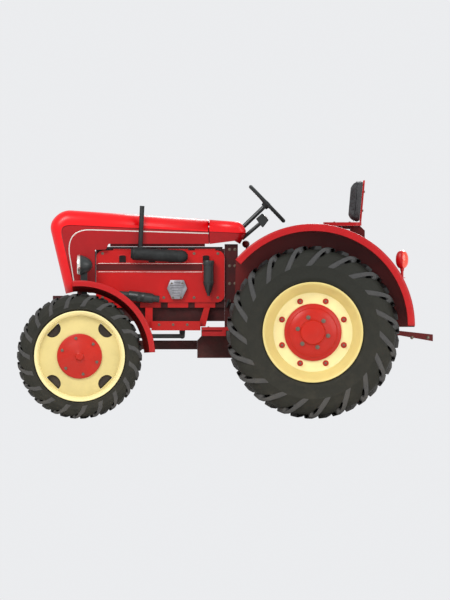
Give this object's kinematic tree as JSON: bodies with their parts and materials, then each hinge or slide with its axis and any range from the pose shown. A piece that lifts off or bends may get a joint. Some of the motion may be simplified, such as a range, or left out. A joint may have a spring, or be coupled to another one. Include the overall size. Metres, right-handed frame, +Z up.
{
  "type": "vintage tractor",
  "caption": "Vintage farm tractor with a long rounded hood, crescent fenders over large rear wheels, steered front wheels, an open seat with a backrest and a drawbar.",
  "frame": {"origin": "on the ground, at the middle of the bounding box's base, on the tractor's centre plane", "axes": "+Z up, the front faces -Y, the tractor's left side is +X"},
  "size_m": [1.745, 3.536, 2.027],
  "materials": {
    "bright_red": "gloss",
    "side_red": "gloss",
    "panel_red": "gloss",
    "fender_red": "satin",
    "maroon_casting": "satin",
    "dark_red": "satin",
    "dark_steel": "satin",
    "tyre_rubber": "matte",
    "cream_paint": "gloss",
    "grey_casting": "satin",
    "lamp_orange": "gloss",
    "black_leathercloth": "satin"
  },
  "bodies": {
    "root": {"front_frame": "maroon_casting", "front_axle": "maroon_casting", "radiator": "dark_steel", "engine_block": "maroon_casting", "engine_panel_left": "panel_red", "engine_panel_right": "panel_red", "exhaust_muffler": "dark_steel", "exhaust_pipe": "dark_steel", "fuel_filter": "dark_steel", "starter_motor": "dark_steel", "pump_cover": "grey_casting", "bell_housing": "maroon_casting", "gearbox": "maroon_casting", "frame_beam": "maroon_casting", "rear_axle_housing": "maroon_casting", "steering_box": "maroon_casting", "steering_column": "dark_steel", "instrument_stalk": "dark_steel", "tank_cowl": "bright_red", "rear_fender_left": "fender_red", "rear_fender_right": "fender_red", "footplate_left": "bright_red", "footplate_right": "bright_red", "side_rail_left": "bright_red", "side_rail_right": "bright_red", "seat_support": "dark_red", "seat_pan": "bright_red", "backrest_plate": "bright_red", "backrest_cushion": "black_leathercloth", "tail_lamp_left": "lamp_orange", "tail_lamp_right": "lamp_orange", "drawbar": "dark_red", "gear_lever": "dark_red", "pedal_left": "dark_steel", "pedal_right": "dark_steel"},
    "hood": {"hood": "bright_red", "grille": "dark_steel", "headlight_left": "dark_steel", "headlight_right": "dark_steel"},
    "knuckle_left": {"knuckle_left": "dark_steel", "front_fender_left": "fender_red"},
    "knuckle_right": {"knuckle_right": "dark_steel", "front_fender_right": "fender_red"},
    "front_wheel_left": {"front_wheel_left": "cream_paint", "front_tyre_left": "tyre_rubber"},
    "front_wheel_right": {"front_wheel_right": "cream_paint", "front_tyre_right": "tyre_rubber"},
    "rear_wheel_left": {"rear_wheel_left": "cream_paint", "rear_tyre_left": "tyre_rubber"},
    "rear_wheel_right": {"rear_wheel_right": "cream_paint", "rear_tyre_right": "tyre_rubber"},
    "tie_rod": {"tie_rod": "dark_steel"},
    "drag_link": {"drag_link": "dark_steel"},
    "drop_arm": {"drop_arm": "dark_steel"},
    "steering_wheel": {"steering_wheel": "dark_steel"}
  },
  "joints": [
    {"name": "left_steer", "type": "hinge", "parent": "root", "child": "knuckle_left", "pos_m": [0.54, -1.236, 0.615], "axis": [0, 0, 1], "range_deg": [-25, 25]},
    {"name": "right_steer", "type": "hinge", "parent": "root", "child": "knuckle_right", "pos_m": [-0.54, -1.236, 0.615], "axis": [0, 0, 1], "range_deg": [-25, 25]},
    {"name": "tie_rod_swing", "type": "hinge", "parent": "knuckle_left", "child": "tie_rod", "pos_m": [0.54, -1.076, 0.771], "axis": [0, 0, 1], "range_deg": [-25, 25]},
    {"name": "drag_link_swing", "type": "hinge", "parent": "knuckle_left", "child": "drag_link", "pos_m": [0.42, -1.236, 0.7025], "axis": [0, 0, 1], "range_deg": [-25, 25]},
    {"name": "drop_arm_swing", "type": "hinge", "parent": "root", "child": "drop_arm", "pos_m": [0.188, -0.3625, 0.8025], "axis": [1, 0, 0], "range_deg": [-30.5, 30.5]},
    {"name": "steering_wheel_turn", "type": "hinge", "parent": "root", "child": "steering_wheel", "pos_m": [0, 0.359, 1.827], "axis": [0, 0.7202, 0.6937], "range_deg": [-300, 300]},
    {"name": "front_left_roll", "type": "hinge", "parent": "knuckle_left", "child": "front_wheel_left", "pos_m": [0.7, -1.236, 0.532], "axis": [1, 0, 0], "continuous": true},
    {"name": "front_right_roll", "type": "hinge", "parent": "knuckle_right", "child": "front_wheel_right", "pos_m": [-0.7, -1.236, 0.532], "axis": [1, 0, 0], "continuous": true},
    {"name": "rear_left_roll", "type": "hinge", "parent": "root", "child": "rear_wheel_left", "pos_m": [0.7, 0.748, 0.735], "axis": [1, 0, 0], "continuous": true},
    {"name": "rear_right_roll", "type": "hinge", "parent": "root", "child": "rear_wheel_right", "pos_m": [-0.7, 0.748, 0.735], "axis": [1, 0, 0], "continuous": true},
    {"name": "hood_hinge", "type": "hinge", "parent": "root", "child": "hood", "pos_m": [0, -0.133, 1.7055], "axis": [-1, 0, 0], "range_deg": [0, 45]}
  ],
  "couplings": [
    {"joint": "right_steer", "follows": "left_steer", "ratio": 1},
    {"joint": "tie_rod_swing", "follows": "left_steer", "ratio": -1},
    {"joint": "drag_link_swing", "follows": "left_steer", "ratio": -1},
    {"joint": "drop_arm_swing", "follows": "left_steer", "ratio": -1.219},
    {"joint": "steering_wheel_turn", "follows": "left_steer", "ratio": 12}
  ]
}
